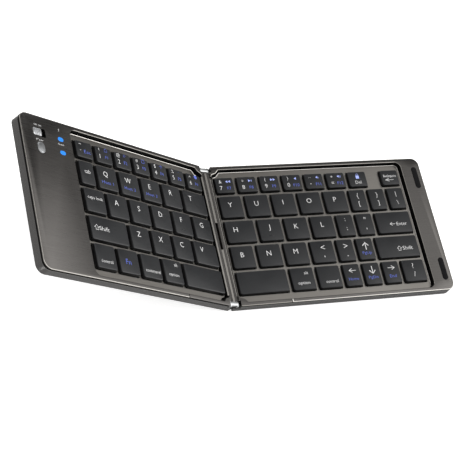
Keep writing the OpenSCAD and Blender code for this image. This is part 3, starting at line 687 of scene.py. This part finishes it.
def printed(text, x, y, capital, ink, z, wide=None):
    """Text as a thin solid print: its middle at (x, y), its capitals that tall, in millimetres."""
    bpy.ops.object.select_all(action="DESELECT")
    bpy.ops.object.text_add(location=(0, 0, 0))
    word = bpy.context.object
    word.data.body = text
    word.data.size = capital / FONT_CAPITAL
    word.data.resolution_u = 2
    word.data.offset = FONT_THIN * capital / FONT_CAPITAL
    word.data.extrude = 0.04
    bpy.ops.object.convert(target="MESH")
    word = bpy.context.object
    xs = [v.co.x for v in word.data.vertices]
    ys = [v.co.y for v in word.data.vertices]
    middle = Vector(((min(xs) + max(xs)) / 2, (min(ys) + max(ys)) / 2, 0))
    stretch = wide / (max(xs) - min(xs)) if wide else 1.0
    word.data.transform(Matrix.Diagonal((MM * stretch, MM, MM, 1)) @ Matrix.Translation(-middle))
    word.data.transform(Matrix.Translation((x * MM, y * MM, z * MM)))
    word.data.materials.clear()
    word.data.materials.append(ink)
    return word


def make_keys(node, side, legends, bumps=()):
    """The caps of one CAD node, with the legends of each key from left to right, as one piece. A legend
    is its text, its place on the key, the height of its capitals, its ink and, for some, its width.
    The rubber domes are another piece, which sits between the switch film and the stems."""
    parts = []
    domes = []
    for index, (x0, x1, y0, y1) in enumerate(key_boxes(node, HALF[side])):
        mid = Vector(((x0 + x1) / 2, (y0 + y1) / 2, 0))
        cap = bpy.data.objects.new(node + "_part", keycap(x1 - x0, y1 - y0))
        scene.collection.objects.link(cap)
        cap.data.transform(Matrix.Translation(mid))
        parts.append(cap)
        bpy.ops.object.select_all(action="DESELECT")
        bpy.ops.mesh.primitive_cone_add(vertices=20, radius1=2.6 * MM, radius2=1.7 * MM,
                                        depth=DOME_TOP - DOME_FOOT,
                                        location=mid + Vector((0, 0, (DOME_TOP + DOME_FOOT) / 2)))
        domes.append(bpy.context.object)
        bpy.ops.object.transform_apply(location=True, rotation=True, scale=True)
        for text, dx, dy, capital, ink, *wide in legends[index]:
            parts.append(printed(text, mid.x / MM + dx, mid.y / MM + dy, capital, ink, CAP_TOP, *wide))
        # A raised bar on F and J, to find them by touch
        if index in bumps:
            bpy.ops.object.select_all(action="DESELECT")
            bpy.ops.mesh.primitive_cube_add(size=1, location=mid + Vector((-0.3, -4.2, CAP_TOP)) * MM)
            bump = bpy.context.object
            bump.scale = (3.6 * MM, 0.7 * MM, 0.4 * MM)
            bpy.ops.object.transform_apply(location=True, rotation=True, scale=True)
            bevel_edges(bump, lambda a, b: a[2] > CAP_TOP + 0.1 or b[2] > CAP_TOP + 0.1, 0.15, 2)
            bump.data.materials.append(key_abs)
            parts.append(bump)
    bpy.ops.object.select_all(action="DESELECT")
    for part in parts:
        part.select_set(True)
    bpy.context.view_layer.objects.active = parts[0]
    bpy.ops.object.join()
    caps = bpy.context.object
    caps.name = node + "_caps"
    close_piece(caps, HALF[side], node + "_body", [node], 40)
    bpy.ops.object.select_all(action="DESELECT")
    for dome in domes:
        dome.select_set(True)
    bpy.context.view_layer.objects.active = domes[0]
    if len(domes) > 1:
        bpy.ops.object.join()
    dome = bpy.context.object
    dome.name = node + "_domes"
    dome.data.materials.append(silicone)
    bevel_edges(dome, lambda a, b: a[2] > -4 and b[2] > -4, 0.3, 2)
    foot, top = (HALF[side] @ Vector((0, 0, z)) for z in (DOME_FOOT, DOME_TOP))
    close_piece(dome, HALF[side], side + "_half", [side + "_rubber_domes"], 40,
                (node + "_body", foot, top))


W, B, P = white_ink, blue_ink, pale_blue_ink


# ---- Right half's number row ----
# Digits with their shifted signs in white at the left, and the function names in blue.
def number_legends(rows, right):
    """The legends of a row of keys, from each key's shifted sign, digit, icon and function name."""
    sign, digit, icon, name = (((-2.8, 2.6), (-2.9, -2.0), (2.5, 2.5), (2.6, -2.3)) if right
                               else ((-3.6, 3.3), (-3.6, -1.1), (1.9, 3.9), (1.9, -1.0)))
    return [[(a, *sign, 2.3, W), (b, *digit, 2.9, W), (d, *name, 2.1, B),
             (c, *icon, 1.4 if right else 2.4, P if right else B)] for a, b, c, d in rows]


make_keys("right_number_keys", "right", number_legends(
    [("&", "7", "◀◀", "F7"), ("*", "8", "▶II", "F8"), ("(", "9", "▶▶", "F9"),
     (")", "0", "◀", "F10"), ("_", "-", "◀)", "F11"), ("+", "=", "◀))", "F12")], True))
make_keys("key_delete", "right",
          [[("■", 0.1, 1.4, 2.2, P), ("∩", 0.1, 2.9, 2.0, P), ("Del", 0.0, -2.5, 2.3, W)]])
make_keys("key_backspace", "right",
          [[("Backspace", 0.0, 0.9, 1.9, W, 9.4), ("←", -0.9, -1.8, 2.4, W, 6.4)]])


# ---- Right half's letter rows ----
# Letters stand left of the middle and a little behind it. Signs stand one above the other.
def letters(text, dx=-0.8, dy=1.4, first=None, last=None):
    """One letter on each key. The first or last key is wider, so its letter has its own place."""
    found = [[(c, dx, dy, 3.4, W)] for c in text]
    if first is not None:
        found[0] = [(text[0], first, dy, 3.4, W)]
    if last is not None:
        found[-1] = [(text[-1], last, dy, 3.4, W)]
    return found


make_keys("right_upper_letters", "right", letters("YUIOP")
          + [[(a, 0.0, 2.9, 3.0, W), (b, 0.0, -3.1, 3.0, W)] for a, b in ("{[", "}]", "|\\")])
make_keys("right_home_letters", "right", letters("HJKL", dx=-0.5, first=-3.4)
          + [[(":", 0.1, 3.9, 3.0, W), (";", 0.2, -2.9, 3.0, W)],
             [("\"", 0.3, 4.2, 3.6, W), ("'", 0.1, -3.6, 3.6, W)]],
          bumps=(1,))
make_keys("key_enter", "right", [[("←", -1.6, -1.3, 2.8, W, 4.2), ("Enter", 5.2, -1.3, 2.5, W, 7.6)]])
make_keys("right_lower_letters", "right", letters("BNM", dx=-0.5)
          + [[("<", 0.3, 2.9, 4.2, W), (",", 0.2, -3.8, 4.2, W)],
             [(">", 0.2, 2.9, 4.2, W), (".", 0.2, -4.3, 4.2, W)]])
make_keys("key_arrow_up", "right", [[("↑", 0.2, 1.9, 5.2, W), ("PgUp", 0.2, -3.3, 1.9, B, 6.6)]])
make_keys("key_right_shift", "right", [[("⇧", 0.8, -1.4, 3.2, W), ("Shift", 6.9, -1.4, 2.6, W, 7.4)]])
make_keys("key_right_space", "right", [[]])
make_keys("key_right_alt", "right", [[("alt", 2.8, 3.8, 2.1, W), ("option", 0.0, -3.4, 2.1, W, 8.2)]])
make_keys("key_right_ctrl", "right", [[("control", 1.0, -3.4, 2.1, W, 8.6)]])
make_keys("key_arrow_left", "right", [[("←", 0.3, 3.0, 3.4, W, 5.2), ("Home", 0.0, -2.9, 1.9, B, 7.0)]])
make_keys("key_arrow_down", "right", [[("↓", 0.3, 2.4, 5.2, W), ("PgDn", 0.0, -3.0, 1.9, B, 6.8)]])
make_keys("key_arrow_right", "right", [[("→", 0.0, 3.0, 3.4, W, 5.2), ("End", 0.0, -2.9, 2.1, B, 4.8)]])
make_keys("key_slash", "right", [[("?", -0.4, 3.3, 3.4, W), ("/", -0.4, -2.6, 3.6, W)]])


# ---- Left half's keys ----
# As on the right half, from the outer edge towards the hinge.
make_keys("key_escape", "left",
          [[("~", -3.0, 3.4, 2.6, W), ("`", -3.2, -0.9, 3.2, W), ("Esc", 2.1, -1.2, 2.2, B, 5.2)]])
make_keys("left_number_keys", "left", number_legends(
    [("!", "1", "⌂", "F1"), ("@", "2", "⌕", "F2"), ("#", "3", "□", "F3"),
     ("$", "4", "↑", "F4"), ("%", "5", "·", "F5"), ("^", "6", "●", "F6")], False))
make_keys("key_tab", "left", [[("tab", 0.1, 1.0, 2.5, W, 4.6)]])
upper = letters("QWERT", dx=-1.3, dy=2.4, last=-4.1)
for place, name in ((0, "Host 1"), (1, "Host 2"), (2, "Host 3")):
    upper[place].append((name, -0.6, -3.0, 2.0, B, 9.4))
make_keys("left_upper_letters", "left", upper)
make_keys("key_caps_lock", "left", [[("caps lock", 0.1, 1.6, 2.0, W, 12.0)]])
make_keys("left_home_letters", "left", letters("ASDFG", dx=-1.2, dy=2.4), bumps=(3,))
make_keys("key_left_shift", "left", [[("⇧", -10.2, 0.4, 3.2, W), ("Shift", -4.2, 0.2, 2.6, W, 8.2)]])
make_keys("left_lower_letters", "left", letters("ZXCV", dx=-1.0, dy=2.5, last=-3.7))
make_keys("key_left_ctrl", "left", [[("control", 0.2, -2.9, 2.1, W, 9.0)]])
make_keys("key_fn", "left", [[("Fn", -0.8, -0.1, 3.4, B)]])
make_keys("key_menu", "left", [[("command", 0.4, -2.7, 2.1, W, 12.0)]])
make_keys("key_left_alt", "left", [[("alt", 3.0, 4.8, 2.1, W), ("option", -0.2, -2.5, 2.1, W, 8.6)]])
make_keys("key_left_space", "left", [[]])


# ---- Hinge ----
# Steel links, one at each end of the hinge line, turn on two pins with domed heads. A dark
# flexible cable crosses under the lowered bars and shows in the right bar's window.
bright_steel = rolled_steel("bright_hinge_steel", "c9cbcb", 0.28)
links = open_copy("hinge_links", "hinge_link_plates", LINK)
links.data.materials.append(bright_steel)
# The plates' outlines, but not the rims of the two bores
BORE_CLEAR = 0.9
bevel_edges(links, lambda a, b: near(a[1], b[1]) and abs(a[1]) > 45 and math.hypot(a[0], a[2]) > BORE_CLEAR
            and math.hypot(a[0] + 2 * PIN_IN / MM, a[2]) > BORE_CLEAR, 0.25, 2)
close_piece(links, LINK, "hinge_link", ["hinge_links"])
for side in ("right", "left"):
    pins = open_copy(f"{side}_hinge_pins", f"{side}_pins", HALF[side])
    pins.data.materials.append(bright_steel)
    bevel_edges(pins, lambda a, b: near(a[1], b[1]) and abs(a[1]) > 48.9, 0.2, 2)
    close_piece(pins, HALF[side], f"{side}_half", [f"{side}_hinge_pins"])


FLEX_DOWN, FLEX_WIDE, FLEX_THICK = -5.1 * MM, 16 * MM, 0.2 * MM


def flexible_film(side, pin):
    """One half's share of the flexible cable: flat in the half, then round the pin to the link's middle."""
    leave = HALF[side] @ Vector((OUT[side] * 0.1 * MM, 0, FLEX_DOWN))
    middle = LINK @ Vector((-PIN_IN, 0, FLEX_DOWN + PIN_DOWN))
    angles = [math.atan2((p - pin).z, (p - pin).x) for p in (leave, middle)]
    reaches = [(p - pin).length for p in (leave, middle)]
    bpy.ops.object.select_all(action="DESELECT")
    bpy.ops.mesh.primitive_grid_add(size=1, x_subdivisions=40, y_subdivisions=1)
    film = bpy.context.object
    film.name = side + "_flexible_film"
    # The first 0.4 of its length runs 7.9 mm out of the half, and the rest bends evenly round the pin
    for vertex in film.data.vertices:
        flat, bent = (vertex.co.x + 0.5) / 0.4, (vertex.co.x + 0.1) / 0.6
        if flat < 1:
            at = HALF[side] @ Vector((OUT[side] * (8.0 - 7.9 * flat) * MM, 0, FLEX_DOWN))
        else:
            angle = angles[0] + bent * (angles[1] - angles[0])
            reach = reaches[0] + bent * (reaches[1] - reaches[0])
            at = pin + reach * Vector((math.cos(angle), 0, math.sin(angle)))
        vertex.co = Vector((at.x, vertex.co.y * FLEX_WIDE, at.z))
    thicken = film.modifiers.new("Thickness", "SOLIDIFY")
    thicken.thickness = FLEX_THICK
    thicken.offset = 0
    bpy.ops.object.modifier_apply(modifier=thicken.name)
    bpy.ops.object.mode_set(mode="EDIT")
    bpy.ops.mesh.select_all(action="SELECT")
    bpy.ops.mesh.normals_make_consistent(inside=False)
    bpy.ops.object.mode_set(mode="OBJECT")
    film.data.materials.append(flex_brown)
    close_piece(film, Matrix.Identity(4), side + "_half", ["flex_cable"], 30,
                ("hinge_link", leave, middle))


flexible_film("right", right_pin)
flexible_film("left", left_pin)


# ---- Switch, button and lights ----
# A ribbed sliding switch and a domed button of satin chromed plastic, and two lit blue windows.
satin_chrome = rolled_steel("satin_chromed_abs", "dadcde", 0.3)
dull_chrome = rolled_steel("dull_chromed_abs", "a6a8aa", 0.3)
knob = open_copy("power_switch_knob", "switch_knob_cap", HALF["left"])
knob.data.materials.append(satin_chrome)
knob.data.materials.append(shade_paint_black)
# The part of the knob down in its slot is painted black, as painted shade
paint_faces(knob, 1, lambda c, n: c[2] < -1.0)
bevel_edges(knob, lambda a, b: min(a[2], b[2]) > 0.25, 0.15, 2)
close_piece(knob, HALF["left"], "switch_knob", ["power_switch_knob"])
button = open_copy("connect_button", "connect_button_cap", HALF["left"])
button.data.materials.append(dull_chrome)
button.data.materials.append(shade_paint_black)
# The part of the button down in its hole is painted black, as painted shade
paint_faces(button, 1, lambda c, n: c[2] < -1.0)
bevel_edges(button, lambda a, b: min(a[2], b[2]) > 0.4, 0.7, 3)
bevel_edges(button, lambda a, b: near(a[2], 0.3) and near(b[2], 0.3), 0.2, 2)
close_piece(button, HALF["left"], "connect_key", ["connect_button"], 60)

# A cloudy plastic window, lit evenly from below
blue_window, blue_tree, blue_shader = surface("lit_blue_window", Roughness=0.3,
                                              Emission_Color=linear("1f8fe8"), Emission_Strength=0.42)
where = add_node(blue_tree, "ShaderNodeTexCoord")
spread = add_node(blue_tree, "ShaderNodeTexNoise", inputs={"Vector": where.outputs["Object"], "Scale": 500.0})
lit_tone = add_node(blue_tree, "ShaderNodeMix", {"data_type": "RGBA"},
                    {"Factor": spread.outputs[0], "A": linear("1560b8"), "B": linear("1c6cc4")})
blue_tree.links.new(lit_tone.outputs["Result"], blue_shader.inputs["Base Color"])
dress(blue_window, "status_lights")

labels = [printed("OFF  ON", -144.3, 42.9, 1.1, white_ink, 0.0, 5.6),
          printed("Pair", -144.1, 33.2, 1.1, white_ink, 0.0, 5.4),
          printed("1", -127.9, 43.7, 2.0, white_ink, 0.0),
          printed("Power", -127.9, 34.2, 1.1, white_ink, 0.0, 4.6)]
bpy.ops.object.select_all(action="DESELECT")
for label in labels:
    label.select_set(True)
bpy.context.view_layer.objects.active = labels[0]
bpy.ops.object.join()
labels = bpy.context.object
labels.name = "strip_labels"
close_piece(labels, HALF["left"], "left_half")


# ---- Pads, screws and socket ----
# Black rubber pads in the right strip keep the closed halves apart. Steel screws hold the
# covers, and the charging socket is a steel shell round a tongue.
pads = open_copy("right_bumper_pads", "bumper_pads", HALF["right"])
pads.data.materials.append(black_rubber)
bevel_edges(pads, lambda a, b: min(a[2], b[2]) > 0.2, 0.2, 2)
close_piece(pads, HALF["right"], "right_half", ["right_bumper_pads"])
dark_steel = rolled_steel("blackened_screw_steel", "4a4a4c", 0.4)
dress(dark_steel, "right_screws", "left_screws")
dress(plain_steel, "charging_socket")
